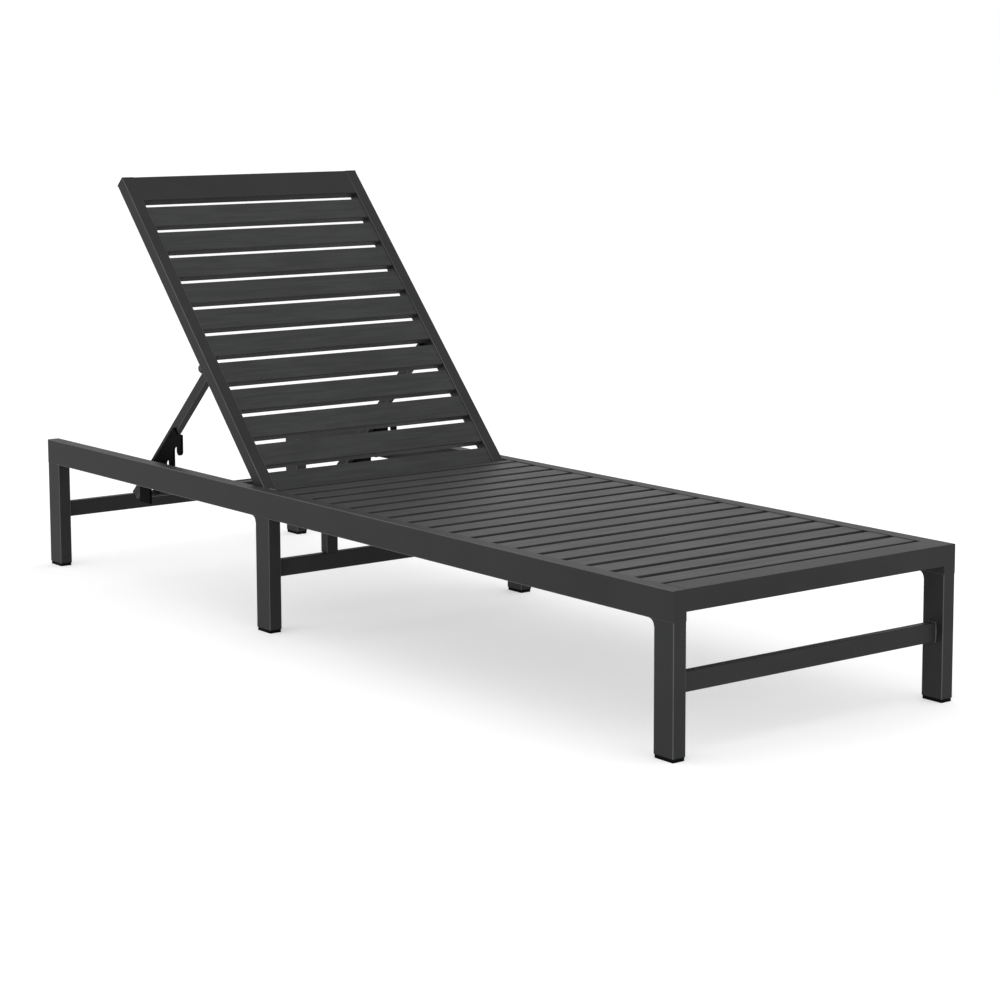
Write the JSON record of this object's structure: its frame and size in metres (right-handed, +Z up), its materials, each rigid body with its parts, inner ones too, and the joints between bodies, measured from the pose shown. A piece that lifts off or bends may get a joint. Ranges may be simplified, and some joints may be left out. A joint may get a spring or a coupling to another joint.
{
  "type": "sun lounger",
  "caption": "Low reclining lounger with a long slatted seat on tube legs and a hinged slatted backrest held up by a notched prop frame.",
  "frame": {"origin": "on the floor, under the middle of the frame", "axes": "+X along the lounger towards the foot end, +Y across it, +Z up"},
  "size_m": [1.93, 0.593, 0.7951],
  "materials": {
    "frame_coat": "fine-textured matt charcoal powder coat",
    "slat_coat": "fine-textured matt charcoal powder coat with a drawn grain along the slat",
    "black_plastic": "moulded black polyamide",
    "fixing_steel": "turned steel with a black oxide film"
  },
  "bodies": {
    "base": {"foot_caps": "black_plastic", "foot_rail": "frame_coat", "hinge_pins": "fixing_steel", "leg_foot_far": "frame_coat", "leg_foot_near": "frame_coat", "leg_head_far": "frame_coat", "leg_head_near": "frame_coat", "leg_mid_far": "frame_coat", "leg_mid_near": "frame_coat", "notch_pins": "fixing_steel", "rest_bar": "frame_coat", "seat_crossbar": "frame_coat", "seat_posts": "frame_coat", "seat_slat_01": "slat_coat", "seat_slat_02": "slat_coat", "seat_slat_03": "slat_coat", "seat_slat_04": "slat_coat", "seat_slat_05": "slat_coat", "seat_slat_06": "slat_coat", "seat_slat_07": "slat_coat", "seat_slat_08": "slat_coat", "seat_slat_09": "slat_coat", "seat_slat_10": "slat_coat", "seat_slat_11": "slat_coat", "seat_slat_12": "slat_coat", "seat_slat_13": "slat_coat", "seat_slat_14": "slat_coat", "seat_slat_15": "slat_coat", "seat_slat_16": "slat_coat", "seat_slat_17": "slat_coat", "seat_slat_18": "slat_coat", "side_rail_far": "frame_coat", "side_rail_near": "frame_coat", "slat_ledges": "frame_coat", "stretcher_foot": "frame_coat", "stretcher_head": "frame_coat", "stretcher_mid": "frame_coat"},
    "backrest": {"back_slat_01": "slat_coat", "back_slat_02": "slat_coat", "back_slat_03": "slat_coat", "back_slat_04": "slat_coat", "back_slat_05": "slat_coat", "back_slat_06": "slat_coat", "back_slat_07": "slat_coat", "back_slat_08": "slat_coat", "back_slat_09": "slat_coat", "back_slat_10": "slat_coat", "back_slat_11": "slat_coat", "back_stile_far": "frame_coat", "back_stile_near": "frame_coat", "back_top_rail": "frame_coat", "prop_bolts": "fixing_steel", "prop_lugs": "frame_coat", "stile_plugs": "black_plastic"},
    "prop": {"arm_plugs": "black_plastic", "notch_comb_far": "black_plastic", "notch_comb_near": "black_plastic", "prop_arm_far": "frame_coat", "prop_arm_near": "frame_coat", "prop_tie_bar": "frame_coat"}
  },
  "joints": [
    {"name": "backrest_recline", "type": "hinge", "parent": "base", "child": "backrest", "pos_m": [-0.19148, 0, 0.2435], "axis": [0, 1, 0], "range_deg": [-47.4, 10]},
    {"name": "prop_swing", "type": "hinge", "parent": "backrest", "child": "prop", "pos_m": [-0.41067, 0, 0.44936], "axis": [0, 1, 0], "range_deg": [-18.3, 86.75]}
  ],
  "couplings": [
    {"joint": "prop_swing", "follows": "backrest_recline", "ratio": -1.83}
  ]
}
